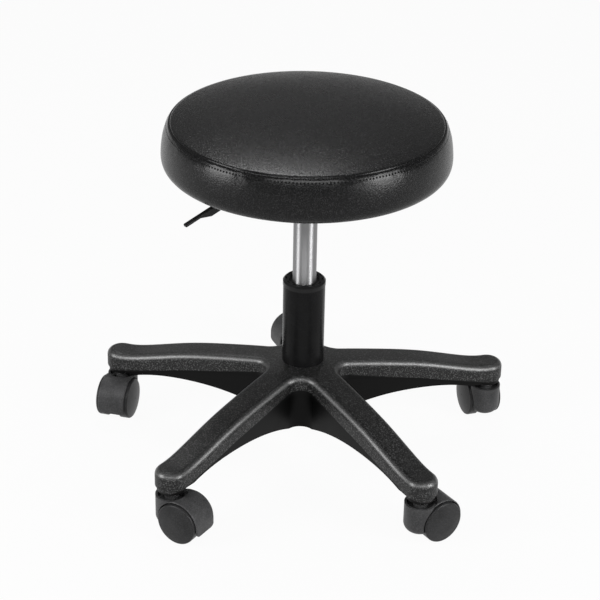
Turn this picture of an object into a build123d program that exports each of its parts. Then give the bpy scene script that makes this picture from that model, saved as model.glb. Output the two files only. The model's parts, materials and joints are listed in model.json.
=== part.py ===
from build123d import *
from math import cos, radians, sin, tan
import os

# Adjustable swivel stool, in millimetres. The origin is on the floor under the column, +Z is up,
# and the front, where the lever shows on the left, faces -Y.

# Casters, each drawn with its stem on the local Z axis and trailing along local +X
wheel_radius = 25.1
wheel_inner_face = 8.8
wheel_outer_face = 20.6
wheel_dome = 2.4
wheel_edge_round = 2.5
wheel_rim_wall = 4.0
wheel_web_wall = 5.0
wheel_hub_radius = 7.5
axle_radius = 3.0
axle_half_length = 16.0
axle_end_gap = 0.6
caster_trail = 19.5
wheel_gap = 1.2
fender_wall = 1.2
fender_edge_round = 2.0
hood_half_width = 17.2
hood_web_half_width = 8.0
hood_rear_height = 15.0
hood_corner_round = 7.0
housing_radius = 18.4
housing_floor_gap = 12.5
housing_bottom_round = 11.0
housing_rim_height = 50.0
housing_rim_wall = 2.6
housing_recess_depth = 6.0
housing_boss_radius = 8.2
rim_clearance = 0.8
stem_radius = 5.5
stem_depth_in_hood = 20.0
stem_depth_in_arm = 22.0
stem_end_chamfer = 0.8
stem_flange_radius = 8.0
stem_flange_height = 2.6
stem_flange_gap = 0.4
grip_ring_height = 5.0
grip_ring_inner_radius = 4.7
grip_ring_slit = 1.2
grip_ring_top_offset = 4.0
stem_socket_play = 0.3
running_play = 0.05

# The direction in which each caster trails, in degrees from +X
caster_trail_angles = {
    "right": 109.4,
    "rear": 205.0,
    "left": 256.4,
    "front_left": -30.5,
    "front_right": 36.3,
}

# Five-arm base
first_arm_angle = 18.0
stem_circle_radius = 240.0
arm_tip_radius = 18.6
arm_taper = -0.45
arm_root_round = 18.0
caster_to_arm_gap = 4.4
cap_height = 22.0
cap_shoulder_round = 8.0
hub_rise = 65.0
hub_drop = 10.0
arm_waist_radius = 95.0
arm_waist_rise = 56.0
arm_bend_radius = 155.0
arm_bend_rise = 45.5
arm_neck_radius = 205.0
arm_neck_rise = 32.6
knob_dip_offset = -6.0
knob_dip_rise = 27.4
knob_offset = 9.0
knob_rise = 27.6
knob_end_slope = -0.2
rib_inset = 5.5
tip_core_inset = 2.0
rib_root_radius = 46.0
rib_arch_radius = 150.0
rib_arch_rise = 8.4
rib_foot_radius = 216.0
rib_wall = 3.6
pocket_roof = 6.0
pocket_start_radius = 60.0
pocket_end_radius = 206.0
pocket_rib_radii = (102.0, 150.0)
pocket_rib_wall = 3.0

# Column tube and its inner pieces
tube_radius = 25.0
tube_wall = 1.8
tube_foot_radius = 24.2
tube_foot_offset = 3.0
tube_floor_offset = 7.0
tube_floor_wall = 3.0
tube_exposed_height = 107.0
collar_height = 7.0
collar_lip = 0.4
collar_bevel = 2.0
collar_bore_radius = 17.0
collar_recess = 3.0
collar_slot_count = 12
collar_slot_width = 1.5
collar_slot_length = 5.5
collar_slot_depth = 2.0
guide_length = 75.0
washer_radius = 15.0
washer_height = 2.0
ball_radius = 2.0
ball_circle_radius = 10.5
ball_count = 12
ball_pocket_play = 0.15
cage_height = 1.8
cage_wall = 3.2
bearing_play = 0.05
rod_radius = 5.0
rod_shoulder_radius = 8.0
rod_shoulder_height = 3.0
bump_stop_radius = 11.0
bump_stop_height = 10.0
foot_washer_height = 1.5
foot_washer_radius = 10.0
clip_height = 1.5
clip_radius = 8.0
clip_groove_radius = 4.0
clip_slit = 6.0
rod_foot_length = 2.0

# Gas spring cylinder
cylinder_radius = 14.0
cylinder_wall = 2.0
cylinder_top_radius = 13.4
cylinder_guided_length = 45.0
rod_guide_height = 12.0
piston_height = 12.0
piston_extension_gap = 4.0
piston_ring_height = 3.0
piston_ring_depth = 1.6
valve_height = 18.0
valve_floor = 3.0
button_radius = 3.0
button_proud = 5.7
button_dome = 1.2
button_seat_depth = 10.0

# Lift, seat plate and release lever. The plate is drawn with the lever along local +X.
lift_stroke = 100.0
stop_gap = 4.0
socket_height = 21.0
socket_wall = 5.0
lever_angle = 220.4
lever_headroom = 15.0
plate_side = 150.0
plate_corner_round = 18.0
plate_wall = 3.0
pan_wall = 2.5
pan_depth = 33.0
pan_mouth_radius = 60.0
pan_floor_radius = 50.0
bolt_spacing = 110.0
bolt_radius = 4.0
bolt_hole_play = 0.4
bolt_head_height = 5.3
bolt_head_flats = 13.0
bolt_washer_radius = 8.5
bolt_washer_height = 1.6
t_nut_radius = 5.0
t_nut_flange_radius = 10.0
t_nut_flange_height = 1.2
lever_bar_height = 6.0
lever_bar_wall = 3.0
lever_nose_length = 3.0
lever_button_gap = 0.3
lever_pivot_distance = 40.0
lever_boss_radius = 6.0
lever_bend_distance = 105.6
lever_droop = 17.0
pivot_pin_radius = 2.5
pivot_pin_head_radius = 4.0
pivot_pin_head_height = 1.5
ear_wall = 2.5
ear_gap = 0.3
ear_width = 12.0
slot_play = 3.0
grip_start = 10.5
grip_root_end = 33.0
grip_step_end = 47.0
grip_end = 67.5
grip_height = 9.6
grip_tip_height = 3.6
grip_width = 5.4
grip_edge_round = 1.2
grip_socket_depth = 15.0
grip_socket_play = 0.1

# Seat
seat_radius = 167.0
seat_lower_round = 14.0
seam_inset = 10.0
seam_height = 40.6
crown_height = 8.0
crown_flat_radius = 60.0
seam_gap = 0.3
skin_wall = 1.2
skin_gap = 0.1
board_wall = 12.0
board_edge_gap = 3.0
fold_width = 26.0
cover_wall = 0.8
cover_edge_margin = 8.0
cover_step_gap = 1.0
staple_count = 24
staple_crown = 10.0
staple_wire = 0.9
staple_leg = 6.0
staple_margin = 5.0

# Heights above the floor, worked out upwards from the wheels
axle_height = wheel_radius
pocket_radius = wheel_radius + wheel_gap
hood_radius = pocket_radius + fender_wall
arm_tip_bottom = axle_height + hood_radius + caster_to_arm_gap
hub_top = arm_tip_bottom + hub_rise
hub_bottom = arm_tip_bottom - hub_drop
tube_foot = hub_bottom + tube_foot_offset
tube_floor_bottom = hub_bottom + tube_floor_offset
tube_floor_top = tube_floor_bottom + tube_floor_wall
tube_top = hub_top + tube_exposed_height
tube_steel_top = tube_top - collar_height
guide_top = tube_top - collar_recess
guide_bottom = tube_steel_top - guide_length
balls_bottom = tube_floor_top + washer_height + bearing_play
upper_washer_bottom = balls_bottom + 2 * ball_radius
shoulder_bottom = upper_washer_bottom + washer_height
shoulder_top = shoulder_bottom + rod_shoulder_height
cylinder_bottom = guide_top - cylinder_guided_length
piston_bottom = cylinder_bottom + rod_guide_height + piston_extension_gap
piston_top = piston_bottom + piston_height
socket_bottom = tube_top + lift_stroke + stop_gap
socket_top = socket_bottom + socket_height
cylinder_top = socket_top
button_tip = cylinder_top + button_proud
lever_underside = button_tip + lever_button_gap
lever_axis_height = lever_underside + lever_bar_height / 2
seat_bottom = lever_underside + lever_headroom
board_bottom = seat_bottom + skin_wall
plate_top = board_bottom - cover_wall
plate_bottom = plate_top - plate_wall
pan_bottom = plate_top - pan_depth
pan_floor = pan_bottom + pan_wall
cover_bottom = seat_bottom - cover_wall
board_top = board_bottom + board_wall
seat_widest = seat_bottom + seat_lower_round
seam_top = seat_widest + seam_height
crown_top = seam_top + crown_height
tube_bore_radius = tube_radius - tube_wall
cylinder_bore_radius = cylinder_radius - cylinder_wall
rod_bore_radius = rod_radius + running_play
seam_radius = seat_radius - seam_inset
bottom_flat_radius = seat_radius - seat_lower_round
board_radius = bottom_flat_radius - board_edge_gap
fold_radius = bottom_flat_radius - fold_width
cover_radius = bottom_flat_radius - cover_edge_margin
cover_step_radius = fold_radius - cover_step_gap
bolt_circle = [(x * bolt_spacing / 2, y * bolt_spacing / 2) for x in (-1, 1) for y in (-1, 1)]


def turned(*points):
    """A solid of revolution about Z from a closed outline of (radius, height) points."""
    return revolve(Plane.XZ * make_face(Polyline(*points, close=True)), Axis.Z)


def ring(inner, outer, bottom, top):
    """A plain ring about Z."""
    return turned((inner, bottom), (outer, bottom), (outer, top), (inner, top))


def disc(radius, bottom, top):
    """A plain round disc about Z."""
    return extrude(Pos(0, 0, bottom) * Circle(radius), top - bottom)


def dome_arc(edge_radius, edge_height, rise):
    """The arc of a shallow dome from its edge up to its top on the axis."""
    dome_radius = (edge_radius**2 + rise**2) / (2 * rise)
    half = edge_radius / 2
    half_height = edge_height + rise - dome_radius + (dome_radius**2 - half**2) ** 0.5
    return ThreePointArc((edge_radius, edge_height), (half, half_height), (0, edge_height + rise))


def polar(radius, degrees):
    """A place in plan at a radius and an angle from +X."""
    return radius * cos(radians(degrees)), radius * sin(radians(degrees))


def tube_taper_radius(height):
    """Radius of the column tube's tapered foot, continued beyond its ends."""
    slope = (tube_radius - tube_foot_radius) / (hub_top - tube_foot)
    return tube_foot_radius + slope * (height - tube_foot)


def arm_plan(narrowing, tip_radius):
    """One arm along +X: two sides that touch its round end, drawn in by narrowing on each side."""
    side_radius = arm_tip_radius - narrowing
    touch_x = stem_circle_radius - side_radius * sin(radians(arm_taper))
    touch_y = side_radius * cos(radians(arm_taper))
    root_y = touch_y - touch_x * tan(radians(arm_taper))
    sides = Polyline((touch_x, -touch_y), (0, -root_y), (0, root_y), (touch_x, touch_y))
    nose = ThreePointArc((touch_x, touch_y), (stem_circle_radius + side_radius, 0), (touch_x, -touch_y))
    outline = make_face(sides.edges() + nose.edges())
    if tip_radius > side_radius:
        outline += Pos(stem_circle_radius, 0) * Circle(tip_radius)
    return outline


def star_plan(narrowing, tip_radius, root_round):
    """The base seen from above, with the inner corners between its arms rounded."""
    arm = arm_plan(narrowing, tip_radius)
    star = Sketch() + [Rot(0, 0, angle) * arm for angle in arm_angles]
    corners = star.vertices().sort_by(lambda v: v.center().length)[: len(arm_angles)]
    return fillet(corners, root_round)


def arm_top_curve(lowered):
    """The line of the arms' upper face from the hub to past the tip, as a curve of (radius, height)."""
    knob_radius = stem_circle_radius + knob_offset
    stations = [
        (0, hub_rise),
        (arm_waist_radius, arm_waist_rise),
        (arm_bend_radius, arm_bend_rise),
        (arm_neck_radius, arm_neck_rise),
        (stem_circle_radius + knob_dip_offset, knob_dip_rise),
        (knob_radius, knob_rise),
        (knob_radius + arm_tip_radius, knob_dip_rise),
    ]
    line = [(radius, arm_tip_bottom + rise - lowered) for radius, rise in stations]
    return Spline(*line, tangents=[(1, 0), (1, knob_end_slope)])


def rib_low_curve():
    """The arched lower line of the ribs under the arms."""
    stations = [
        (rib_root_radius, hub_bottom),
        (rib_arch_radius, arm_tip_bottom + rib_arch_rise),
        (rib_foot_radius, arm_tip_bottom),
    ]
    return Spline(*stations, tangents=[(1, 0.42), (1, -0.3)], tangent_scalars=[1, 1])


def turned_between(upper, lower):
    """The solid swept about Z between an upper and a lower line, both running outwards."""
    joins = [Line((upper @ 0), (lower @ 0)), Line((upper @ 1), (lower @ 1))]
    return revolve(Plane.XZ * make_face(upper.edges() + lower.edges() + joins), Axis.Z)


def star_base():
    """Five capped arms with a deeper rib under each, a hub for the tube and sockets for the stems."""
    outer_radius = stem_circle_radius + knob_offset + arm_tip_radius
    cap = extrude(star_plan(0, arm_tip_radius, arm_root_round), hub_top)
    cap &= turned_between(arm_top_curve(0), arm_top_curve(cap_height))
    upper_face = cap.faces().sort_by(SortBy.AREA)[-2:].sort_by(Axis.Z)[-1]
    cap = fillet(upper_face.outer_wire().edges(), cap_shoulder_round)

    rib_low = (
        Line((0, hub_bottom), (rib_root_radius, hub_bottom))
        + rib_low_curve()
        + Line((rib_foot_radius, arm_tip_bottom), (outer_radius, arm_tip_bottom))
    )
    rib = extrude(star_plan(rib_inset, arm_tip_radius - tip_core_inset, arm_root_round), hub_top)
    rib &= turned_between(arm_top_curve(cap_height / 2), rib_low)

    floor = Line((0, 0), (outer_radius, 0))
    pocket_width = 2 * (arm_tip_radius - rib_inset - rib_wall)
    pocket_length = pocket_end_radius - pocket_start_radius
    pocket = Pos((pocket_start_radius + pocket_end_radius) / 2, 0) * Rectangle(pocket_length, pocket_width)
    for rib_radius in pocket_rib_radii:
        pocket -= Pos(rib_radius, 0) * Rectangle(pocket_rib_wall, pocket_width)
    pockets = Sketch() + [Rot(0, 0, angle) * pocket for angle in arm_angles]
    base = cap + rib - (extrude(pockets, hub_top) & turned_between(arm_top_curve(pocket_roof), floor))

    bore_low = hub_bottom - hub_drop
    bore_high = hub_top + hub_drop
    base -= turned(
        (0, bore_low), (tube_taper_radius(bore_low), bore_low), (tube_taper_radius(bore_high), bore_high),
        (0, bore_high),
    )
    socket = disc(stem_radius + stem_socket_play, 0, arm_tip_bottom + stem_depth_in_arm + stem_end_chamfer)
    for angle in arm_angles:
        base -= Pos(*polar(stem_circle_radius, angle)) * socket
    return base


def outer_tube():
    """The column's outer tube, tapered where it sits in the hub, with a floor for the thrust bearing."""
    body = turned(
        (0, tube_foot), (tube_foot_radius, tube_foot), (tube_radius, hub_top),
        (tube_radius, tube_steel_top), (0, tube_steel_top),
    )
    below = disc(tube_foot_radius - tube_wall, 0, tube_floor_bottom)
    above = turned(
        (0, tube_floor_top), (tube_foot_radius - tube_wall, tube_floor_top), (tube_bore_radius, hub_top),
        (tube_bore_radius, tube_top), (0, tube_top),
    )
    return body - below - above - disc(rod_bore_radius, 0, tube_top)


def tube_collar():
    """The bevelled ring that closes the top of the tube, with slots round its top face for turning it."""
    outer = tube_radius + collar_lip
    ring = turned(
        (collar_bore_radius, tube_steel_top), (outer, tube_steel_top), (outer, tube_top - collar_bevel),
        (outer - collar_bevel, tube_top), (collar_bore_radius + collar_bevel, tube_top),
        (collar_bore_radius, tube_top - collar_bevel),
    )
    slot_radius = (collar_bore_radius + outer) / 2
    slot = Pos(slot_radius, 0, tube_top) * Box(collar_slot_width, collar_slot_length, 2 * collar_slot_depth)
    return ring - [Rot(0, 0, 360 * step / collar_slot_count) * slot for step in range(collar_slot_count)]


def guide_bushing():
    """The sleeve in the tube that guides the gas cylinder, with a neck inside the collar."""
    bore = cylinder_radius + running_play
    return turned(
        (bore, guide_bottom), (tube_bore_radius, guide_bottom), (tube_bore_radius, tube_steel_top),
        (collar_bore_radius, tube_steel_top), (collar_bore_radius, guide_top), (bore, guide_top),
    )


def ball_ring():
    """The balls of the thrust bearing."""
    ball = Pos(ball_circle_radius, 0, balls_bottom + ball_radius) * Sphere(ball_radius)
    return [Rot(0, 0, 360 * step / ball_count) * ball for step in range(ball_count)]


def ball_cage():
    """The flat ring that keeps the balls apart."""
    middle = balls_bottom + ball_radius
    cage = ring(
        ball_circle_radius - cage_wall, ball_circle_radius + cage_wall, middle - cage_height / 2,
        middle + cage_height / 2,
    )
    pocket = Pos(ball_circle_radius, 0) * disc(ball_radius + ball_pocket_play, 0, hub_top)
    for step in range(ball_count):
        cage -= Rot(0, 0, 360 * step / ball_count) * pocket
    return cage


def piston_rod():
    """The rod that stands on the thrust bearing and reaches up into the gas cylinder."""
    clip_top = tube_floor_bottom - bearing_play - foot_washer_height
    foot = clip_top - clip_height - rod_foot_length
    rod = disc(rod_radius, foot, piston_top) + disc(rod_shoulder_radius, shoulder_bottom, shoulder_top)
    return rod - ring(clip_groove_radius, 2 * rod_radius, clip_top - clip_height, clip_top)


def retaining_clip():
    """The open ring that snaps into the groove at the foot of the rod."""
    clip_top = tube_floor_bottom - bearing_play - foot_washer_height
    clip = ring(clip_groove_radius, clip_radius, clip_top - clip_height, clip_top)
    return clip - Pos(clip_radius, 0, clip_top) * Box(2 * clip_radius, clip_slit, 4 * clip_height)


def piston_head():
    """The piston on the rod's top end, grooved for its ring."""
    outer = cylinder_bore_radius - running_play
    ring_bottom = (piston_bottom + piston_top - piston_ring_height) / 2
    groove = ring(outer - piston_ring_depth, 2 * outer, ring_bottom, ring_bottom + piston_ring_height)
    return ring(rod_radius, outer, piston_bottom, piston_top) - groove


def piston_ring():
    """The sealing ring in the piston's groove."""
    outer = cylinder_bore_radius - running_play
    ring_bottom = (piston_bottom + piston_top - piston_ring_height) / 2
    return ring(outer - piston_ring_depth, outer, ring_bottom, ring_bottom + piston_ring_height)


def gas_cylinder():
    """The bright pressure tube, tapered where it sits in the seat plate's socket."""
    body = turned(
        (0, cylinder_bottom), (cylinder_radius, cylinder_bottom), (cylinder_radius, socket_bottom),
        (cylinder_top_radius, cylinder_top), (0, cylinder_top),
    )
    return body - disc(cylinder_bore_radius, cylinder_bottom - rod_guide_height, 2 * cylinder_top)


def rod_guide():
    """The plug that closes the cylinder's lower end round the rod."""
    return ring(rod_bore_radius, cylinder_bore_radius, cylinder_bottom, cylinder_bottom + rod_guide_height)


def valve_body():
    """The plug in the cylinder's upper end that holds the release button."""
    plug = disc(cylinder_bore_radius, cylinder_top - valve_height, cylinder_top)
    bore_bottom = cylinder_top - valve_height + valve_floor
    return plug - disc(button_radius + running_play, bore_bottom, 2 * cylinder_top)


def release_button():
    """The valve's push pin, with a domed tip under the lever's nose."""
    edge = button_tip - button_dome
    low = cylinder_top - button_seat_depth
    side = Polyline((0, button_tip), (0, low), (button_radius, low), (button_radius, edge))
    dome = dome_arc(button_radius, edge, button_dome)
    return revolve(Plane.XZ * make_face(side.edges() + dome.edges()), Axis.Z)


def taper_socket():
    """The steel ring in the seat plate that grips the cylinder's taper."""
    outer = cylinder_radius + socket_wall
    return turned(
        (cylinder_radius, socket_bottom), (outer, socket_bottom), (outer, socket_top),
        (cylinder_top_radius, socket_top),
    )


def bolt_holes(radius):
    """Upright cylinders through everything at the seat plate's bolts."""
    return [Pos(x, y) * disc(radius, 0, 2 * crown_top) for x, y in bolt_circle]


def seat_plate():
    """A pressed plate with a dished pan, a hole for the socket and a slot for the lever."""
    outline = RectangleRounded(plate_side, plate_side, plate_corner_round)
    flange = extrude(Pos(0, 0, plate_bottom) * outline, plate_wall)
    flange -= disc(pan_mouth_radius - pan_wall, 0, 2 * plate_top)
    pan = turned(
        (cylinder_radius + socket_wall, pan_bottom), (pan_floor_radius, pan_bottom),
        (pan_mouth_radius, plate_bottom), (pan_mouth_radius, plate_top),
        (pan_mouth_radius - pan_wall, plate_top),
        (pan_mouth_radius - pan_wall, plate_bottom), (pan_floor_radius - pan_wall, pan_floor),
        (cylinder_radius + socket_wall, pan_floor),
    )
    slot_bottom = lever_underside - slot_play
    slot = Pos(pan_mouth_radius, 0, (slot_bottom + plate_bottom) / 2) * Box(
        pan_mouth_radius, lever_bar_wall + 2 * slot_play, plate_bottom - slot_bottom
    )
    plate = flange + pan - slot
    for hole in bolt_holes(bolt_radius + bolt_hole_play):
        plate -= hole
    return plate


def lever_bracket():
    """Two ears on the pan's floor that carry the lever's pivot pin."""
    ear_inner = lever_bar_wall / 2 + ear_gap
    ear_top = lever_axis_height + ear_width / 2
    foot = Pos(lever_pivot_distance, 0, pan_floor + ear_wall / 2) * Box(
        ear_width, 2 * (ear_inner + ear_wall), ear_wall
    )
    ear_height = lever_axis_height - pan_floor
    outline = Pos(lever_pivot_distance, -ear_height / 2) * Rectangle(ear_width, ear_height)
    outline += Pos(lever_pivot_distance, 0) * Circle(ear_width / 2)
    outline -= Pos(lever_pivot_distance, 0) * Circle(pivot_pin_radius)
    ear = extrude(Plane.XZ * outline, ear_wall)
    bracket = foot
    for y in (-ear_inner, ear_inner + ear_wall):
        bracket += Pos(0, y, lever_axis_height) * ear
    return bracket


def pivot_pin():
    """The headed pin through the ears and the lever."""
    half = lever_bar_wall / 2 + ear_gap + ear_wall
    pin = Cylinder(pivot_pin_radius, 2 * half + pivot_pin_head_height)
    head = Cylinder(pivot_pin_head_radius, pivot_pin_head_height)
    pin = Pos(0, 0, -pivot_pin_head_height / 2) * pin + Pos(0, 0, half + pivot_pin_head_height / 2) * head
    return Pos(lever_pivot_distance, 0, lever_axis_height) * Rot(90, 0, 0) * pin


def lever_line_point(along, across):
    """A place on the drooping end of the lever, in its upright plane, measured from the bend."""
    droop = radians(lever_droop)
    x = lever_bend_distance + along * cos(droop) + across * sin(droop)
    return x, lever_axis_height - along * sin(droop) + across * cos(droop)


def lever_bar():
    """A flat bar on edge: a nose over the button, a pivot eye and an end that droops into the grip."""
    half = lever_bar_height / 2
    bend = half * tan(radians(lever_droop) / 2)
    end = grip_start + grip_socket_depth - grip_socket_play
    low = lever_axis_height - half
    high = lever_axis_height + half
    outline = make_face(
        Polyline(
            (-lever_nose_length, low), (lever_bend_distance - bend, low), lever_line_point(end, -half),
            lever_line_point(end, half), (lever_bend_distance + bend, high), (-lever_nose_length, high),
            close=True,
        )
    )
    outline += Pos(lever_pivot_distance, lever_axis_height) * Circle(lever_boss_radius)
    outline -= Pos(lever_pivot_distance, lever_axis_height) * Circle(pivot_pin_radius + running_play)
    return Pos(0, lever_bar_wall / 2) * extrude(Plane.XZ * outline, lever_bar_wall)


def lever_grip():
    """The moulded handle: a tall root over the bar and a thin end that keeps the upper edge."""
    half = grip_height / 2
    tip_low = half - grip_tip_height
    outline = make_face(
        Polyline(
            lever_line_point(grip_start, -half), lever_line_point(grip_root_end, -half),
            lever_line_point(grip_step_end, tip_low), lever_line_point(grip_end, tip_low),
            lever_line_point(grip_end, half), lever_line_point(grip_start, half), close=True,
        )
    )
    grip = Pos(0, grip_width / 2) * extrude(Plane.XZ * outline, grip_width)
    grip = fillet(grip.edges(), grip_edge_round)
    bar_half = lever_bar_height / 2 + grip_socket_play
    socket_end = grip_start + grip_socket_depth
    socket_outline = make_face(
        Polyline(
            lever_line_point(0, -bar_half), lever_line_point(socket_end, -bar_half),
            lever_line_point(socket_end, bar_half), lever_line_point(0, bar_half), close=True,
        )
    )
    socket_width = lever_bar_wall + 2 * grip_socket_play
    return grip - Pos(0, socket_width / 2) * extrude(Plane.XZ * socket_outline, socket_width)


def seat_bolts():
    """Hex bolts that hold the plate to the board."""
    head_bottom = plate_bottom - bolt_washer_height - bolt_head_height
    head = Pos(0, 0, head_bottom) * RegularPolygon(bolt_head_flats / 2, 6, major_radius=False)
    bolt = extrude(head, bolt_head_height) + disc(bolt_radius, head_bottom, board_top)
    return [Pos(x, y) * bolt for x, y in bolt_circle]


def bolt_washers():
    """Plain washers under the bolt heads."""
    low = plate_bottom - bolt_washer_height
    washer = ring(bolt_radius + bolt_hole_play, bolt_washer_radius, low, plate_bottom)
    return [Pos(x, y) * washer for x, y in bolt_circle]


def t_nuts():
    """Flanged nuts set into the board from above."""
    bore = bolt_radius + bolt_hole_play
    nut = ring(bore, t_nut_radius, board_bottom, board_top) + ring(
        bore, t_nut_flange_radius, board_top, board_top + t_nut_flange_height
    )
    return [Pos(x, y) * nut for x, y in bolt_circle]


def seat_board():
    """The round plywood board, drilled for the flanged nuts."""
    board = disc(board_radius, board_bottom, board_top)
    for hole in bolt_holes(t_nut_radius):
        board -= hole
    return board


def band_curve(inward):
    """The seat's side from its flat underside up to the seam, drawn in by inward."""
    low = CenterArc((bottom_flat_radius, seat_widest), seat_lower_round - inward, -90, 90)
    width = seam_inset - inward
    high = EllipticalCenterArc((seam_radius, seat_widest), width, seam_height - inward, arc_size=90)
    return low.edges() + high.edges()


def crown_curve(lowered):
    """The seat's upper face from its flat middle to the seam, lowered by lowered."""
    flat_end = (crown_flat_radius, crown_top - lowered)
    flat = Line((0, crown_top - lowered), flat_end)
    fall = TangentArc(flat_end, (seam_radius, seam_top - lowered), tangent=(1, 0))
    return flat.edges() + fall.edges()


def seat_top_panel():
    """The round upper panel of the cover, up to the seam."""
    outer = seam_radius - seam_gap
    shape = make_face(
        crown_curve(0) + crown_curve(skin_wall)
        + [
            Line((0, crown_top), (0, crown_top - skin_wall)),
            Line((seam_radius, seam_top), (seam_radius, seam_top - skin_wall)),
        ]
    )
    return revolve(Plane.XZ * shape, Axis.Z) & disc(outer, 0, 2 * crown_top)


def seat_side_band():
    """The side of the cover, from the seam down and folded in under the board."""
    shape = make_face(
        band_curve(0) + band_curve(skin_wall)
        + [
            Line((seam_radius, seam_top), (seam_radius, seam_top - skin_wall)),
            Line((bottom_flat_radius, seat_bottom), (bottom_flat_radius, seat_bottom + skin_wall)),
        ]
    )
    band = revolve(Plane.XZ * shape, Axis.Z)
    return band + ring(fold_radius, bottom_flat_radius, seat_bottom, board_bottom)


def seat_foam():
    """The pad between the board and the cover."""
    inward = skin_wall + skin_gap
    low = board_top + skin_gap
    shape = make_face(
        crown_curve(inward) + band_curve(inward)
        + [
            Line((0, crown_top - inward), (0, seat_bottom + inward)),
            Line((0, seat_bottom + inward), (bottom_flat_radius, seat_bottom + inward)),
        ]
    )
    foam = revolve(Plane.XZ * shape, Axis.Z) - disc(board_radius + skin_gap, 0, low)
    for hole in bolt_holes(t_nut_flange_radius + skin_gap):
        foam -= hole & disc(seat_radius, 0, low + t_nut_flange_height)
    return foam


def dust_cover():
    """The thin cloth that closes the underside, cut out for the plate's pan and bolts."""
    cover = ring(pan_mouth_radius - pan_wall, cover_step_radius, plate_top, board_bottom)
    cover += ring(cover_step_radius - cover_wall, cover_step_radius, cover_bottom, board_bottom)
    cover += ring(cover_step_radius, cover_radius, cover_bottom, seat_bottom)
    for hole in bolt_holes(bolt_radius + bolt_hole_play):
        cover -= hole
    return cover


def cover_staples():
    """Wire staples round the edge of the dust cover."""
    radius = cover_radius - staple_margin
    crown = Pos(0, 0, cover_bottom - staple_wire / 2) * Box(staple_wire, staple_crown, staple_wire)
    staple = crown
    for y in (-1, 1):
        leg = Box(staple_wire, staple_wire, staple_leg, align=(Align.CENTER, Align.CENTER, Align.MIN))
        staple += Pos(0, y * (staple_crown - staple_wire) / 2, cover_bottom - staple_wire / 2) * leg
    turns = [360 * step / staple_count for step in range(staple_count)]
    return [Rot(0, 0, turn) * Pos(radius, 0) * staple for turn in turns]


def fender_outline(radius):
    """The hood's side view round the axle: a circle with a rear skirt that drops straight to the floor."""
    return Circle(radius) + Pos(radius / 2, -axle_height / 2) * Rectangle(radius, axle_height)


def caster_hood():
    """One caster's body: a drum over the wheels, a round stem housing and a web for the axle."""
    drum = extrude(Plane.XZ * fender_outline(hood_radius), hood_half_width, both=True)
    side_edges = drum.faces().filter_by(Axis.Y).edges()
    drum = Pos(caster_trail, 0, axle_height) * fillet(side_edges, fender_edge_round)
    trim_height = 2 * hood_radius
    trim = RectangleRounded(2 * hood_half_width, trim_height, hood_corner_round)
    trim = Plane.YZ * Pos(0, hood_rear_height + trim_height / 2) * trim
    drum &= extrude(trim, caster_trail + 2 * hood_radius, both=True)

    housing = disc(housing_radius, housing_floor_gap, housing_rim_height)
    housing = fillet(housing.edges().sort_by(Axis.Z)[0], housing_bottom_round)
    body = drum + housing
    body -= disc(housing_radius + rim_clearance, housing_rim_height, arm_tip_bottom)
    recess_bottom = housing_rim_height - housing_recess_depth
    body -= ring(housing_boss_radius, housing_radius - housing_rim_wall, recess_bottom, arm_tip_bottom)

    pocket = extrude(Plane.XZ * fender_outline(pocket_radius), hood_half_width)
    for y in (-hood_web_half_width, hood_web_half_width + hood_half_width):
        body -= Pos(caster_trail, y, axle_height) * pocket
    stem_bottom = housing_rim_height - stem_depth_in_hood - stem_flange_gap
    body -= disc(stem_radius + running_play, stem_bottom, arm_tip_bottom)
    axle_hole = Rot(90, 0, 0) * Cylinder(axle_radius, 4 * hood_half_width)
    return body - Pos(caster_trail, 0, axle_height) * axle_hole


def caster_axle():
    """The pin across the hood's web that carries both wheels."""
    return Pos(caster_trail, 0, axle_height) * Rot(90, 0, 0) * Cylinder(axle_radius, 2 * axle_half_length)


def caster_wheel(side):
    """One domed wheel with a blind bore, on the +Y or -Y side of the web."""
    bore = axle_radius + running_play
    bore_end = axle_half_length + axle_end_gap
    rim_inner = wheel_radius - wheel_rim_wall
    web_inner = wheel_outer_face - wheel_web_wall
    face_edge = wheel_radius - wheel_edge_round
    sides = Polyline(
        (0, wheel_outer_face + wheel_dome), (0, bore_end), (bore, bore_end), (bore, wheel_inner_face),
        (wheel_hub_radius, wheel_inner_face), (wheel_hub_radius, web_inner), (rim_inner, web_inner),
        (rim_inner, wheel_inner_face), (wheel_radius, wheel_inner_face),
        (wheel_radius, wheel_outer_face - wheel_edge_round),
    )
    slant = wheel_edge_round * cos(radians(45))
    edge = ThreePointArc(
        (wheel_radius, wheel_outer_face - wheel_edge_round),
        (face_edge + slant, wheel_outer_face - wheel_edge_round + slant), (face_edge, wheel_outer_face),
    )
    dome = dome_arc(face_edge, wheel_outer_face, wheel_dome)
    shape = make_face(sides.edges() + edge.edges() + dome.edges())
    wheel = revolve(Plane.XZ * shape, Axis.Z)
    return Pos(caster_trail, 0, axle_height) * Rot(-90 * side, 0, 0) * wheel


def caster_stem():
    """The steel stem that the hood turns on, grooved for its grip ring."""
    low = housing_rim_height - stem_depth_in_hood
    high = arm_tip_bottom + stem_depth_in_arm
    flange_bottom = housing_rim_height + stem_flange_gap
    flange_top = flange_bottom + stem_flange_height
    stem = turned(
        (0, low), (stem_radius, low), (stem_radius, flange_bottom), (stem_flange_radius, flange_bottom),
        (stem_flange_radius, flange_top), (stem_radius, flange_top), (stem_radius, high - stem_end_chamfer),
        (stem_radius - stem_end_chamfer, high), (0, high),
    )
    groove_top = high - grip_ring_top_offset
    return stem - ring(grip_ring_inner_radius, 2 * stem_radius, groove_top - grip_ring_height, groove_top)


def grip_ring():
    """The split spring ring that holds the stem in the arm's socket."""
    top = arm_tip_bottom + stem_depth_in_arm - grip_ring_top_offset
    body = ring(grip_ring_inner_radius, stem_radius + stem_socket_play, top - grip_ring_height, top)
    return body - Pos(stem_radius, 0, top) * Box(2 * stem_radius, grip_ring_slit, 4 * grip_ring_height)


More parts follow.
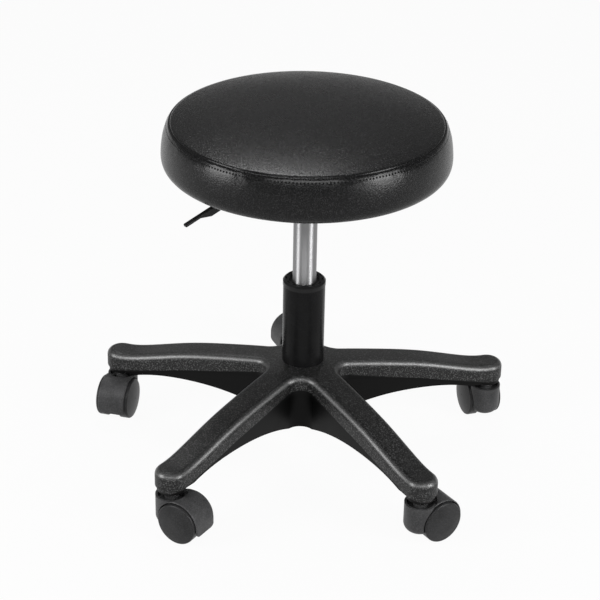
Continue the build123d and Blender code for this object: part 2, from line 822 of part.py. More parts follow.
arm_angles = [first_arm_angle + 72 * step for step in range(5)]
arm_angle_of = dict(zip(caster_trail_angles, arm_angles))


def at_arm(name, shape, turn):
    """Place a caster piece under the named arm, turned about its stem."""
    return Pos(*polar(stem_circle_radius, arm_angle_of[name])) * Rot(0, 0, turn) * shape


pieces = {
    "star_base": star_base(),
    "outer_tube": outer_tube(),
    "tube_collar": tube_collar(),
    "guide_bushing": guide_bushing(),
    "thrust_washer_lower": ring(
        rod_bore_radius, washer_radius, tube_floor_top, tube_floor_top + washer_height
    ),
    "thrust_balls": ball_ring(),
    "ball_cage": ball_cage(),
    "thrust_washer_upper": ring(rod_radius, washer_radius, upper_washer_bottom, shoulder_bottom),
    "piston_rod": piston_rod(),
    "bump_stop": ring(rod_radius, bump_stop_radius, shoulder_top, shoulder_top + bump_stop_height),
    "foot_washer": ring(
        rod_radius, foot_washer_radius, tube_floor_bottom - bearing_play - foot_washer_height,
        tube_floor_bottom - bearing_play,
    ),
    "retaining_clip": retaining_clip(),
    "piston_head": piston_head(),
    "piston_ring": piston_ring(),
    "gas_cylinder": gas_cylinder(),
    "rod_guide": rod_guide(),
    "valve_body": valve_body(),
    "release_button": release_button(),
}

under_seat = {
    "taper_socket": taper_socket(),
    "seat_plate": seat_plate(),
    "lever_bracket": lever_bracket(),
    "lever_pivot_pin": pivot_pin(),
    "lever_bar": lever_bar(),
    "lever_grip": lever_grip(),
    "seat_bolts": seat_bolts(),
    "bolt_washers": bolt_washers(),
    "t_nuts": t_nuts(),
    "seat_board": seat_board(),
    "seat_foam": seat_foam(),
    "seat_top_panel": seat_top_panel(),
    "seat_side_band": seat_side_band(),
    "dust_cover": dust_cover(),
    "cover_staples": cover_staples(),
}
lever_turn = Rot(0, 0, lever_angle)
for name, shape in under_seat.items():
    pieces[name] = [lever_turn * item for item in shape] if isinstance(shape, list) else lever_turn * shape

hood = caster_hood()
axle = caster_axle()
wheels = [caster_wheel(side) for side in (-1, 1)]
for name, turn in caster_trail_angles.items():
    pieces[f"caster_hood_{name}"] = at_arm(name, hood, turn)
    pieces[f"caster_axle_{name}"] = at_arm(name, axle, turn)
    for number, wheel in enumerate(wheels, start=1):
        pieces[f"caster_wheel_{name}_{number}"] = at_arm(name, wheel, turn)
pieces["caster_stems"] = [at_arm(name, caster_stem(), 0) for name in caster_trail_angles]
pieces["stem_grip_rings"] = [at_arm(name, grip_ring(), arm_angle_of[name]) for name in caster_trail_angles]

os.makedirs("parts", exist_ok=True)
for name, shape in pieces.items():
    solid = Compound(children=shape) if isinstance(shape, list) else shape
    export_step(solid, f"parts/{name}.step")
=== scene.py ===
import json
import math

import bpy
from mathutils import Matrix, Vector, noise


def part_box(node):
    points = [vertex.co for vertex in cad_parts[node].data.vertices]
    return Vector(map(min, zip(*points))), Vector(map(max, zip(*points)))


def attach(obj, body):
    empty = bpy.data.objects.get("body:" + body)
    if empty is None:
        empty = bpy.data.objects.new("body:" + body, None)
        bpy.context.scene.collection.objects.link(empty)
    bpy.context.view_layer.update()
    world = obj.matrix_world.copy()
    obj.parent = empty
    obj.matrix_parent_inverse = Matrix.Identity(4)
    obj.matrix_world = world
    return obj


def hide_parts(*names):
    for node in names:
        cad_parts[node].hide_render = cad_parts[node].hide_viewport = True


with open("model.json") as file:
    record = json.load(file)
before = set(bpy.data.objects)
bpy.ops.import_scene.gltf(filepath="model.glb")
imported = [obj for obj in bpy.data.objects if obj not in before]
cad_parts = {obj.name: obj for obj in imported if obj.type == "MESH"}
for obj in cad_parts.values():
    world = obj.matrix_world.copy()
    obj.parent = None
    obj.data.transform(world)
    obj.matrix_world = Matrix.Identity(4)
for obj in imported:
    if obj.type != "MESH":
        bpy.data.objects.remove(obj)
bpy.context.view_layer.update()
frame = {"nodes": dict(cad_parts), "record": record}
nodes = frame["nodes"]
scene = bpy.context.scene
MM = 0.001

# Base: the lower edge of the arms' caps falls evenly from the column's axis outwards
CAP_EDGE_HEIGHT = 112.7 * MM
CAP_EDGE_FALL = 0.211

# Seat, from the solids that the cushion stands for and the board inside it
_, panel_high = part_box("seat_top_panel")
band_low, band_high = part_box("seat_side_band")
board_low, board_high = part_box("seat_board")
_, nuts_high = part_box("t_nuts")
CROWN_TOP = panel_high.z
CROWN_FLAT = 60 * MM
CROWN_POWER = 3.0
SEAM_RADIUS = panel_high.x + 0.3 * MM
SEAM_HEIGHT = band_high.z
SEAT_RADIUS = band_high.x
SEAT_BOTTOM = band_low.z
LOWER_ROUND = 14 * MM
WIDEST = SEAT_BOTTOM + LOWER_ROUND
BAND_TURN = 70
BAND_RINGS = 10
BOARD_RADIUS = board_high.x
FOLD_RADIUS = SEAT_RADIUS - LOWER_ROUND - 26 * MM
PAD_FLOOR = nuts_high.z + 0.3 * MM
PAD_MIDDLE = PAD_FLOOR + 20 * MM
GRID_RADIUS = 100 * MM
SEGMENTS = 128
COVER_SLACK = 0.5 * MM
SWELL_FRAMES = 20
SWELL_LIMIT = 3 * MM
SEAM_LIP = 0.5 * MM
SEAM_SINK = 2.6 * MM
PUCKER_DEPTH = 0.45 * MM
PUCKER_REACH = 24 * MM
STITCH_COUNT = 252
STITCH_DROP = 5.3 * MM
STITCH_RADIUS = 0.34 * MM
STITCH_HALF_LENGTH = 0.85 * MM
STITCH_SLANT = math.radians(7)
STITCH_SINK = 0.05 * MM


# Shader helpers

class Field:
    """A number that varies over a surface, so that shader maths reads as Python arithmetic."""

    def __init__(self, finish, socket):
        self.finish = finish
        self.socket = socket

    def math(self, operation, *others):
        sockets = dict(enumerate((self, *others)))
        return self.finish.node("ShaderNodeMath", {"operation": operation}, sockets)[0]

    def __add__(self, other):
        return self.math("ADD", other)

    def __mul__(self, other):
        return self.math("MULTIPLY", other)

    def __sub__(self, other):
        return self.math("SUBTRACT", other)

    def __rsub__(self, other):
        return self.finish.node("ShaderNodeMath", {"operation": "SUBTRACT"}, {0: other, 1: self})[0]

    def __abs__(self):
        return self.math("ABSOLUTE")

    __radd__ = __add__
    __rmul__ = __mul__

    def between(self, low, high, start=0.0, end=1.0):
        """This field from low to high as a smooth step from start to end."""
        ranged = {"Value": self, "From Min": low, "From Max": high, "To Min": start, "To Max": end}
        return self.finish.node("ShaderNodeMapRange", {"interpolation_type": "SMOOTHSTEP"}, ranged)[0]


class Finish:
    """One material: a Principled shader with the nodes that vary it."""

    def __init__(self, name, **sockets):
        self.material = bpy.data.materials.new(name)
        self.material.use_nodes = True
        self.tree = self.material.node_tree
        self.shader = self.tree.nodes["Principled BSDF"]
        self.place = self.node("ShaderNodeTexCoord")["Object"]
        for socket, value in sockets.items():
            self.set(socket.replace("_", " ").title().replace("Ior", "IOR"), value)

    def node(self, kind, settings=None, sockets=None):
        """A node with its settings made first; returns its outputs by name and by number."""
        made = self.tree.nodes.new(kind)
        for key, value in (settings or {}).items():
            setattr(made, key, value)
        for key, value in (sockets or {}).items():
            self.link(made.inputs[key], value)
        outputs = [Field(self, socket) for socket in made.outputs]
        return dict(enumerate(outputs)) | {out.socket.name: out for out in outputs if out.socket.enabled}

    def link(self, target, value):
        if isinstance(value, Field):
            self.tree.links.new(value.socket, target)
        else:
            target.default_value = value

    def set(self, socket, value):
        self.link(self.shader.inputs[socket], value)
        return self

    def stretched(self, scale):
        """The piece's own coordinates, stretched by a scale for each axis."""
        return self.node("ShaderNodeMapping", {}, {"Vector": self.place, "Scale": scale})["Vector"]

    def axis(self, letter):
        return self.node("ShaderNodeSeparateXYZ", {}, {"Vector": self.place})[letter]

    def facing_up(self):
        """How far the surface faces up or down, from 0 on a wall to 1 on a level face."""
        normal = self.node("ShaderNodeNewGeometry")["Normal"]
        return abs(self.node("ShaderNodeSeparateXYZ", {}, {"Vector": normal})["Z"])

    def grain(self, scale, detail=2.0, roughness=0.5, place=None, distortion=0.0):
        sockets = {
            "Vector": place or self.place, "Scale": scale, "Detail": detail, "Roughness": roughness,
            "Distortion": distortion,
        }
        return self.node("ShaderNodeTexNoise", {}, sockets)["Fac"]

    def cells(self, scale, feature="F1", place=None, randomness=1.0):
        sockets = {"Vector": place or self.place, "Scale": scale, "Randomness": randomness}
        return self.node("ShaderNodeTexVoronoi", {"feature": feature}, sockets)["Distance"]

    def warped(self, scale, amount):
        """The coordinates pushed about by a noise, which keeps a cell pattern from looking drawn."""
        sockets = {"Vector": self.place, "Scale": scale, "Detail": 2.0}
        colour = self.node("ShaderNodeTexNoise", {}, sockets)["Color"]
        centred = {0: colour, 1: (amount,) * 3, 2: (-amount / 2,) * 3}
        push = self.node("ShaderNodeVectorMath", {"operation": "MULTIPLY_ADD"}, centred)["Vector"]
        return self.node("ShaderNodeVectorMath", {"operation": "ADD"}, {0: self.place, 1: push})["Vector"]

    def mixed(self, mask, dark, light):
        """A colour between two, by a mask."""
        sockets = {"Factor": mask, 6: (*dark, 1.0), 7: (*light, 1.0)}
        return self.node("ShaderNodeMix", {"data_type": "RGBA"}, sockets)[2]

    def blend(self, mask, colour, other):
        """A colour that varies, changed to a plain one by a mask."""
        sockets = {"Factor": mask, 6: colour, 7: (*other, 1.0)}
        return self.node("ShaderNodeMix", {"data_type": "RGBA"}, sockets)[2]

    def bump(self, *layers):
        """Relief from layers of (height, depth in metres), one on another."""
        normal = None
        for height, depth in layers:
            sockets = {"Height": height, "Distance": depth, "Strength": 1.0}
            if normal:
                sockets["Normal"] = normal
            normal = self.node("ShaderNodeBump", {}, sockets)["Normal"]
        return self.set("Normal", normal)


# Finishes

def black_vinyl():
    """Seat cover: fine leather grain, pulled tight below the seam and dimpled under the stitches, with
    painted shade in the needle holes.
    """
    finish = Finish("black_vinyl", specular_ior_level=0.2)
    pores = finish.cells(390, "DISTANCE_TO_EDGE", finish.warped(330, 0.0022)).between(0.0, 0.26)
    fine = finish.grain(560, 2.0)
    soft = finish.grain(38, 3.0)
    fleck = finish.grain(760, 2.0, 0.6).between(0.48, 0.7)
    below = SEAM_HEIGHT - finish.axis("Z")
    tight = below.between(-0.5 * MM, 0.5 * MM) * (1 - below.between(6 * MM, 10 * MM))
    row = abs(below - STITCH_DROP)
    turn = finish.axis("Y").math("ARCTAN2", finish.axis("X")) * (STITCH_COUNT / (2 * math.pi))
    aside = abs(turn.math("FRACT") - 0.5)
    # Needle holes under the stitches: real dimples, rougher, and painted near-black in the base colour as
    # painted shade.
    hole_and_painted_shade = (1 - row.between(0.35 * MM, 1.0 * MM)) * (1 - aside.between(0.16, 0.28))
    plain = finish.mixed(fleck, (0.002, 0.002, 0.0021), (0.021, 0.021, 0.0215))
    # The base colour is painted near-black in the needle holes: painted shade.
    finish.set("Base Color", finish.blend(hole_and_painted_shade, plain, (0.0005, 0.0005, 0.0005)))
    finish.set("Roughness", 0.22 + 0.04 * soft + 0.06 * fine - 0.08 * tight + 0.5 * hole_and_painted_shade)
    relief = 1 - 0.5 * tight
    finish.bump((1 - hole_and_painted_shade, 0.5 * MM), (pores * relief, 0.06 * MM), (fine * relief, 0.08 * MM))
    return finish.material


def stitch_thread():
    """Twisted black thread."""
    finish = Finish("stitch_thread", roughness=0.6, specular_ior_level=0.05)
    twist = finish.grain(3000, 1.0)
    finish.set("Base Color", finish.mixed(twist, (0.002, 0.002, 0.002), (0.006, 0.006, 0.006)))
    return finish.bump((twist, 0.08 * MM)).material


def speckled_nylon():
    """Filled black nylon: the arms' caps are speckled and polished; the ribs under them are plain and get no
    light flecks, which is painted shade under the caps.
    """
    finish = Finish("speckled_nylon", specular_ior_level=0.1, coat_roughness=0.42, coat_ior=1.8)
    up = finish.facing_up()
    wall = 1 - up.between(0.3, 0.9)
    x, y, z = (finish.axis(letter) for letter in "XYZ")
    reach = (x * x + y * y).math("SQRT")
    cap = (z + CAP_EDGE_FALL * reach - CAP_EDGE_HEIGHT).between(-1 * MM, 1 * MM)
    # Light flecks only on the caps: the ribs below stay plain and darker, partly painted shade under the
    # caps.
    fleck = finish.grain(700, 1.5, 0.6).between(0.5, 0.67) * cap
    fine = finish.grain(1100, 3.0, 0.6)
    pits = finish.cells(430, "F1", finish.warped(600, 0.0018))
    swirl = finish.grain(24, 4.0, 0.55, distortion=0.6)
    speck = fleck * (0.75 + 0.25 * wall)
    finish.set("Base Color", finish.mixed(speck, (0.002, 0.002, 0.002), (0.075, 0.075, 0.075)))
    finish.set("Roughness", 0.4 + 0.1 * swirl)
    polish = up.between(0.1, 0.55, 0.2, 1.0) * up.between(0.88, 0.99, 1.0, 0.4)
    finish.set("Coat Weight", cap * polish * (0.9 + 0.1 * swirl))
    return finish.bump((pits * (0.3 + 0.7 * wall) * cap, 0.14 * MM), (fine, 0.02 * MM)).material


def matte_moulding(name, dark, light, rough):
    """A plain moulded plastic with a spark-eroded grain."""
    finish = Finish(name, specular_ior_level=0.16)
    grain = finish.grain(850, 3.0, 0.6)
    cloud = finish.grain(60, 3.0)
    finish.set("Base Color", finish.mixed(grain.between(0.42, 0.68) * 0.4 + 0.6 * cloud, dark, light))
    finish.set("Roughness", rough - 0.05 + 0.1 * cloud)
    return finish.bump((grain, 0.03 * MM)).material


def gloss_enamel():
    """The column tube's baked black enamel."""
    finish = Finish("gloss_enamel", specular_ior_level=0.07)
    peel = finish.grain(420, 2.0)
    dust = finish.grain(75, 4.0, 0.6)
    finish.set("Base Color", finish.mixed(dust, (0.004, 0.004, 0.0042), (0.008, 0.008, 0.0082)))
    finish.set("Roughness", 0.2 + 0.14 * dust)
    return finish.bump((peel, 0.012 * MM)).material


def satin_chrome():
    """The gas cylinder: ground round and chromed, with fine rings."""
    finish = Finish("satin_chrome", metallic=1.0, anisotropic=0.95, anisotropic_rotation=0.25)
    rings = finish.grain(1.0, 3.0, 0.6, finish.stretched((60, 60, 5200)))
    cloud = finish.grain(30, 2.0)
    finish.set("Base Color", finish.mixed(cloud, (0.36, 0.36, 0.365), (0.42, 0.42, 0.425)))
    finish.set("Roughness", 0.46 + 0.08 * rings)
    return finish.bump((rings, 0.004 * MM)).material


def plated_steel():
    """Zinc plated fasteners and turned steel."""
    finish = Finish("plated_steel", metallic=1.0, roughness=0.34)
    turned = finish.grain(1.0, 2.0, 0.5, finish.stretched((300, 300, 2600)))
    cloud = finish.grain(150, 3.0)
    finish.set("Base Color", finish.mixed(cloud, (0.4, 0.4, 0.41), (0.6, 0.6, 0.6)))
    finish.set("Roughness", 0.28 + 0.16 * cloud)
    return finish.bump((turned, 0.01 * MM)).material


def powder_coat():
    """Black powder coat on the pressed plate and the lever bar."""
    finish = Finish("powder_coat", roughness=0.45, specular_ior_level=0.1)
    peel = finish.grain(900, 2.0)
    cloud = finish.grain(90, 3.0)
    finish.set("Base Color", finish.mixed(cloud, (0.008, 0.008, 0.008), (0.014, 0.014, 0.014)))
    finish.set("Roughness", 0.38 + 0.14 * cloud)
    return finish.bump((peel, 0.03 * MM)).material


def plain_rubber():
    """Black rubber of the stop and the seal."""
    finish = Finish("plain_rubber", roughness=0.8, specular_ior_level=0.2)
    grain = finish.grain(1200, 3.0)
    finish.set("Base Color", finish.mixed(grain, (0.012, 0.012, 0.012), (0.022, 0.022, 0.022)))
    finish.set("Roughness", 0.72 + 0.16 * grain)
    return finish.bump((grain, 0.05 * MM)).material


def bare_plywood():
    """The seat board: rotary-cut veneer with its growth lines."""
    finish = Finish("bare_plywood", roughness=0.7)
    lines = finish.grain(1.0, 4.0, 0.6, finish.stretched((18, 260, 1500)), 0.4)
    plies = finish.grain(1.0, 1.0, 0.5, finish.stretched((2, 2, 420)))
    finish.set("Base Color", finish.mixed(0.6 * lines + 0.4 * plies, (0.3, 0.19, 0.1), (0.58, 0.43, 0.27)))
    finish.set("Roughness", 0.6 + 0.2 * lines)
    return finish.bump((lines, 0.08 * MM)).material


def spunbond_cloth():
    """The dust cover's bonded black cloth with its dimple pattern."""
    finish = Finish("spunbond_cloth", roughness=0.9, specular_ior_level=0.1)
    dimples = finish.cells(560, "F1", None, 0.15).between(0.12, 0.42)
    fibres = finish.grain(1500, 4.0, 0.7)
    finish.set("Base Color", finish.mixed(fibres * dimples, (0.007, 0.007, 0.007), (0.02, 0.02, 0.02)))
    finish.set("Roughness", 0.82 + 0.12 * fibres)
    return finish.bump((dimples, 0.15 * MM), (fibres, 0.06 * MM)).material


# Modelling helpers

def deselect():
    """Leave edit mode, with nothing selected."""
    if bpy.context.object and bpy.context.object.mode != "OBJECT":
        bpy.ops.object.mode_set(mode="OBJECT")
    bpy.ops.object.select_all(action="DESELECT")


def start_piece(name):
    """Name the primitive that was just added."""
    piece = bpy.context.object
    piece.name = name
    piece.data.name = name
    return piece


def select_points(piece, wanted):
    """In edit mode, select the vertices that wanted picks by their place, and the edges between them."""
    bpy.ops.mesh.select_mode(type="VERT")
    bpy.ops.mesh.select_all(action="DESELECT")
    bpy.ops.object.mode_set(mode="OBJECT")
    for vertex in piece.data.vertices:
        vertex.select = wanted(vertex.co)
    bpy.ops.object.mode_set(mode="EDIT")
    bpy.ops.mesh.select_mode(type="EDGE")


def finish_piece(piece, body, material):
    """Put the piece on its body, with its finish."""
    piece.data.materials.clear()
    piece.data.materials.append(material)
    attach(piece, body)


def plan_radius(point):
    return math.hypot(point.x, point.y)


# Seat cushion

def at_seam(point):
    return abs(point.z - SEAM_HEIGHT) < 0.2 * MM and abs(plan_radius(point) - SEAM_RADIUS) < 0.3 * MM


def crown_line(radius):
    """Height of the seat's upper face at a radius: level in the middle, then rounded down to the seam."""
    out = max(0.0, radius - CROWN_FLAT) / (SEAM_RADIUS - CROWN_FLAT)
    return CROWN_TOP - (CROWN_TOP - SEAM_HEIGHT) * out ** CROWN_POWER


def cushion_outline():
    """Rings of (radius, height): the pad's underside round the board, up the side and over the crown."""
    flat = SEAT_RADIUS - LOWER_ROUND
    round_board = BOARD_RADIUS + 0.4 * MM
    rings = [
        (GRID_RADIUS, PAD_FLOOR), (BOARD_RADIUS - 12 * MM, PAD_FLOOR), (round_board, PAD_FLOOR),
        (round_board, board_low.z + 4 * MM), (round_board, board_low.z),
        (BOARD_RADIUS - 10 * MM, board_low.z), (FOLD_RADIUS, board_low.z), (FOLD_RADIUS, SEAT_BOTTOM),
        (FOLD_RADIUS + 12 * MM, SEAT_BOTTOM), (flat, SEAT_BOTTOM),
    ]
    for degrees in (22, 44, 66):
        turn = math.radians(degrees)
        rings.append((flat + LOWER_ROUND * math.sin(turn), WIDEST - LOWER_ROUND * math.cos(turn)))
    shallow = math.radians(BAND_TURN)
    for step in range(BAND_RINGS + 1):
        turn = shallow * step / BAND_RINGS
        out = (math.cos(turn) - math.cos(shallow)) / (1 - math.cos(shallow))
        height = WIDEST + (SEAM_HEIGHT - WIDEST) * math.sin(turn) / math.sin(shallow)
        rings.append((SEAM_RADIUS + (SEAT_RADIUS - SEAM_RADIUS) * out, height))
    for inset in (4, 9, 16, 25, 35, 46):
        radius = SEAM_RADIUS - inset * MM
        rings.append((radius, crown_line(radius)))
    rings.append((GRID_RADIUS, crown_line(GRID_RADIUS)))
    return rings


def swell(cushion):
    """Blow the pad up as cloth with its seam and underside held, and limit how far a point may move."""
    start = [vertex.co.copy() for vertex in cushion.data.vertices]
    held = cushion.vertex_groups.new(name="held")
    for vertex in cushion.data.vertices:
        under = plan_radius(vertex.co) < SEAT_RADIUS - 8 * MM and vertex.co.z < PAD_FLOOR + 0.2 * MM
        if at_seam(vertex.co) or under:
            held.add([vertex.index], 1.0, "REPLACE")
    cloth = cushion.modifiers.new("Cloth", "CLOTH")
    cloth.settings.quality = 8
    cloth.settings.mass = 0.3
    cloth.settings.tension_stiffness = cloth.settings.compression_stiffness = 60
    cloth.settings.shear_stiffness = 30
    cloth.settings.bending_stiffness = 4
    cloth.settings.vertex_group_mass = "held"
    cloth.settings.use_pressure = True
    cloth.settings.uniform_pressure_force = 4
    cloth.settings.effector_weights.gravity = 0
    cloth.collision_settings.use_collision = False
    for step in range(1, SWELL_FRAMES + 1):
        scene.frame_set(step)
    bpy.ops.object.modifier_apply(modifier=cloth.name)
    scene.frame_set(1)
    for vertex, before in zip(cushion.data.vertices, start):
        move = vertex.co - before
        if move.length > SWELL_LIMIT:
            vertex.co = before + move * (SWELL_LIMIT / move.length)


def seat_cushion():
    """One crowned pad with its sewn cover: ringed up from a circle, swollen, then creased at the seam."""
    deselect()
    rings = cushion_outline()
    bpy.ops.mesh.primitive_circle_add(vertices=SEGMENTS, radius=rings[0][0], location=(0, 0, rings[0][1]))
    cushion = start_piece("seat_cushion")
    bpy.ops.object.transform_apply(location=True, rotation=False, scale=False)
    bpy.ops.object.mode_set(mode="EDIT")
    bpy.ops.mesh.select_all(action="SELECT")
    for (radius, height), (next_radius, next_height) in zip(rings, rings[1:]):
        share = next_radius / radius
        bpy.ops.mesh.extrude_edges_move(
            TRANSFORM_OT_translate={"value": (0, 0, next_height - height), "orient_type": "GLOBAL"}
        )
        bpy.ops.transform.resize(value=(share, share, 1), center_override=(0, 0, next_height))
    for height in (rings[0][1], rings[-1][1]):
        select_points(
            cushion,
            lambda co: abs(co.z - height) < 0.05 * MM and abs(plan_radius(co) - GRID_RADIUS) < 0.2 * MM,
        )
        bpy.ops.mesh.fill_grid()
    bpy.ops.mesh.select_all(action="SELECT")
    bpy.ops.mesh.normals_make_consistent(inside=False)
    bpy.ops.object.mode_set(mode="OBJECT")
    for vertex in cushion.data.vertices:
        radius = plan_radius(vertex.co)
        if vertex.co.z > PAD_MIDDLE and radius < GRID_RADIUS:
            vertex.co.z = crown_line(radius)
    for vertex in cushion.data.vertices:
        radius = plan_radius(vertex.co)
        if radius < SEAM_RADIUS - 1 * MM and vertex.co.z > PAD_MIDDLE:
            vertex.co.z -= COVER_SLACK * min(1.0, (SEAM_RADIUS - radius) / (20 * MM))
        elif SEAT_BOTTOM + 6 * MM < vertex.co.z < SEAM_HEIGHT - 3 * MM and radius > SEAM_RADIUS:
            rise = (vertex.co.z - SEAT_BOTTOM) / (SEAM_HEIGHT - SEAT_BOTTOM)
            vertex.co.xy *= 1 - 0.4 * COVER_SLACK * math.sin(math.pi * rise) / radius
    swell(cushion)
    crease_seam(cushion)
    return cushion


def crease_seam(cushion):
    """Sink the seam between two rounded lips, smooth the pad and pucker the cover along the stitching."""
    bpy.ops.object.mode_set(mode="EDIT")
    select_points(cushion, at_seam)
    bpy.ops.mesh.bevel(offset=SEAM_LIP, segments=2, profile=0.6, affect="EDGES")
    select_points(
        cushion,
        lambda co: math.hypot(co.z - SEAM_HEIGHT, plan_radius(co) - SEAM_RADIUS) < 0.3 * MM,
    )
    bpy.ops.transform.shrink_fatten(value=-SEAM_SINK)
    bpy.ops.object.mode_set(mode="OBJECT")
    smooth = cushion.modifiers.new("Smooth", "SUBSURF")
    smooth.levels = smooth.render_levels = 1
    bpy.ops.object.modifier_apply(modifier=smooth.name)
    for vertex in cushion.data.vertices:
        below = SEAM_HEIGHT - vertex.co.z
        if 2.5 * MM < below < PUCKER_REACH and plan_radius(vertex.co) > SEAM_RADIUS:
            turn = math.atan2(vertex.co.y, vertex.co.x)
            wave = noise.noise(Vector((26 * math.cos(turn), 26 * math.sin(turn), 60 * below)))
            fade = 1 - below / PUCKER_REACH
            vertex.co.xy *= 1 + PUCKER_DEPTH * wave * fade / plan_radius(vertex.co)
    bpy.ops.object.shade_smooth()


def seat_topstitch(cushion):
    """A row of stitches below the seam, each one modelled thread loop laid on the cover."""
    deselect()
    height = SEAM_HEIGHT - STITCH_DROP
    bpy.ops.mesh.primitive_uv_sphere_add(segments=8, ring_count=5, radius=1.0)
    stitch = start_piece("seat_topstitch")
    loop = Matrix.Diagonal((STITCH_RADIUS, STITCH_RADIUS, STITCH_HALF_LENGTH, 1))
    stitch.data.transform(Matrix.Rotation(math.radians(90), 4, "Y") @ loop)
    bpy.ops.object.shade_smooth()
    pattern = stitch.data.copy()
    copies = []
    for number in range(STITCH_COUNT):
        turn = 2 * math.pi * (number + 0.5) / STITCH_COUNT
        out = Vector((math.cos(turn), math.sin(turn), 0))
        start = out * (SEAT_RADIUS + 30 * MM) + Vector((0, 0, height))
        _, place, normal, _ = cushion.ray_cast(start, -out)
        along = Vector((-out.y, out.x, 0))
        up = normal.cross(along).normalized()
        lay = Matrix((along, up, normal)).transposed().to_4x4() @ Matrix.Rotation(STITCH_SLANT, 4, "Z")
        mesh = pattern.copy()
        mesh.transform(Matrix.Translation(place - normal * STITCH_SINK) @ lay)
        if number == 0:
            stitch.data = mesh
        else:
            copy = bpy.data.objects.new("stitch", mesh)
            scene.collection.objects.link(copy)
            copies.append(copy)
    for copy in copies:
        copy.select_set(True)
    stitch.select_set(True)
    bpy.context.view_layer.objects.active = stitch
    bpy.ops.object.join()
    return stitch


# Stage

def photo_camera():
    """The camera at the photograph's place, angle and framing, for an image as wide as it is high."""
    distance = 2.2175
    elevation = math.radians(27.309)
    azimuth = math.radians(-88.62)
    roll = math.radians(1.178)
    target = Vector((0, 0, 0.23))
    level = Vector((math.cos(azimuth), math.sin(azimuth), 0))
    out = level * math.cos(elevation) + Vector((0, 0, math.sin(elevation)))
    bpy.ops.object.camera_add()
    camera = bpy.context.object
    camera.data.sensor_width = 36
    camera.data.lens = 112.747
    camera.data.shift_x = -0.00735
    camera.data.shift_y = -0.03782
    turn = (-out).to_track_quat("-Z", "Y").to_matrix() @ Matrix.Rotation(roll, 3, "Z")
    camera.matrix_world = Matrix.Translation(target + out * distance) @ turn.to_4x4()
    scene.camera = camera


def pale_floor():
    """A pale floor that reads as white to the camera and to reflections, and keeps a faint shadow."""
    deselect()
    bpy.ops.mesh.primitive_plane_add(size=80, location=(0, 0, -0.3 * MM))
    floor = start_piece("floor")
    bpy.ops.object.transform_apply(location=True, rotation=False, scale=False)
    material = bpy.data.materials.new("pale_floor")
    material.use_nodes = True
    tree = material.node_tree
    tree.nodes.clear()
    kinds = ("OutputMaterial", "MixShader", "Emission", "BsdfDiffuse")
    made = {kind: tree.nodes.new("ShaderNode" + kind) for kind in kinds}
    made["BsdfDiffuse"].inputs["Color"].default_value = (0.5, 0.5, 0.5, 1)
    seen = seen_directly(tree)
    share = tree.nodes.new("ShaderNodeMath")
    share.operation = "MULTIPLY"
    share.inputs[1].default_value = 0.95
    tree.links.new(seen, share.inputs[0])
    tree.links.new(share.outputs[0], made["MixShader"].inputs[0])
    tree.links.new(made["BsdfDiffuse"].outputs[0], made["MixShader"].inputs[1])
    tree.links.new(made["Emission"].outputs[0], made["MixShader"].inputs[2])
    tree.links.new(made["MixShader"].outputs[0], made["OutputMaterial"].inputs["Surface"])
    floor.data.materials.append(material)


def seen_directly(tree):
    """1 for rays from the camera, from reflections and through glass, 0 for light that falls on things."""
    path = tree.nodes.new("ShaderNodeLightPath")
    total = path.outputs["Is Camera Ray"]
    for name in ("Is Glossy Ray", "Is Transmission Ray"):
        most = tree.nodes.new("ShaderNodeMath")
        most.operation = "MAXIMUM"
        tree.links.new(total, most.inputs[0])
        tree.links.new(path.outputs[name], most.inputs[1])
        total = most.outputs[0]
    return total


def studio_world():
    """White at the horizon and below, a dim studio above it."""
    world = bpy.data.worlds.new("studio")
    world.use_nodes = True
    scene.world = world
    tree = world.node_tree
    place = tree.nodes.new("ShaderNodeTexCoord")
    split = tree.nodes.new("ShaderNodeSeparateXYZ")
    ramp = tree.nodes.new("ShaderNodeValToRGB")
    ramp.color_ramp.elements[0].position = 0.0
    ramp.color_ramp.elements[0].color = (1, 1, 1, 1)
    ramp.color_ramp.elements[1].position = 0.1
    ramp.color_ramp.elements[1].color = (0.24, 0.24, 0.24, 1)
    tree.links.new(place.outputs["Generated"], split.inputs[0])
    tree.links.new(split.outputs["Z"], ramp.inputs["Fac"])
    tree.links.new(ramp.outputs["Color"], tree.nodes["Background"].inputs["Color"])


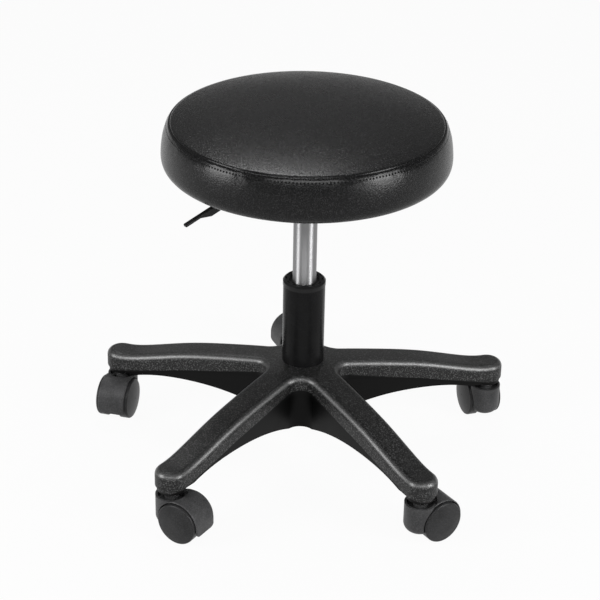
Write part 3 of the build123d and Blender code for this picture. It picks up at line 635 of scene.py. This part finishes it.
def softbox(name, place, width, height, radiance):
    """A soft lamp that faces the stool."""
    bpy.ops.object.light_add(type="AREA", location=place)
    lamp = bpy.context.object
    lamp.name = name
    lamp.data.shape = "RECTANGLE"
    lamp.data.size = width
    lamp.data.size_y = height
    lamp.data.energy = radiance * math.pi * width * height
    lamp.rotation_euler = (Vector((0, 0, 0.25)) - Vector(place)).to_track_quat("-Z", "Y").to_euler()
    lamp.visible_camera = False


# Assembly

finish_of_slot = {
    "base_nylon": speckled_nylon(),
    "caster_plastic": matte_moulding("caster_moulding", (0.014, 0.014, 0.0142), (0.086, 0.086, 0.088), 0.4),
    "wheel_plastic": matte_moulding("wheel_moulding", (0.005, 0.005, 0.0052), (0.042, 0.042, 0.043), 0.38),
    "tube_black": gloss_enamel(),
    "collar_plastic": matte_moulding("collar_moulding", (0.006, 0.006, 0.0062), (0.012, 0.012, 0.0122), 0.3),
    "inner_plastic": matte_moulding("bushing_moulding", (0.012, 0.012, 0.012), (0.03, 0.03, 0.03), 0.45),
    "plain_steel": plated_steel(),
    "cylinder_steel": satin_chrome(),
    "plate_black": powder_coat(),
    "lever_plastic": matte_moulding("lever_moulding", (0.007, 0.007, 0.007), (0.014, 0.014, 0.014), 0.36),
    "rubber": plain_rubber(),
    "plywood": bare_plywood(),
    "dust_cloth": spunbond_cloth(),
}
for subpart in frame["record"]["subparts"]:
    material = finish_of_slot.get(subpart["material_slot"])
    if material:
        node = nodes[subpart["node"]]
        node.data.materials.clear()
        node.data.materials.append(material)

cushion = seat_cushion()
stitches = seat_topstitch(cushion)
finish_piece(cushion, "seat", black_vinyl())
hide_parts("seat_foam", "seat_top_panel", "seat_side_band")
finish_piece(stitches, "seat", stitch_thread())

photo_camera()
pale_floor()
studio_world()
softbox("left_softbox", (-1.65, -0.75, 0.88), 0.75, 0.9, 12)
softbox("right_softbox", (1.58, -0.9, 0.88), 0.75, 0.9, 14)
softbox("front_softbox", (0, -1.9, 1.6), 2.0, 0.4, 8)
softbox("top_softbox", (-0.25, 1.24, 2.16), 0.6, 0.3, 24)
scene.view_settings.view_transform = "Standard"
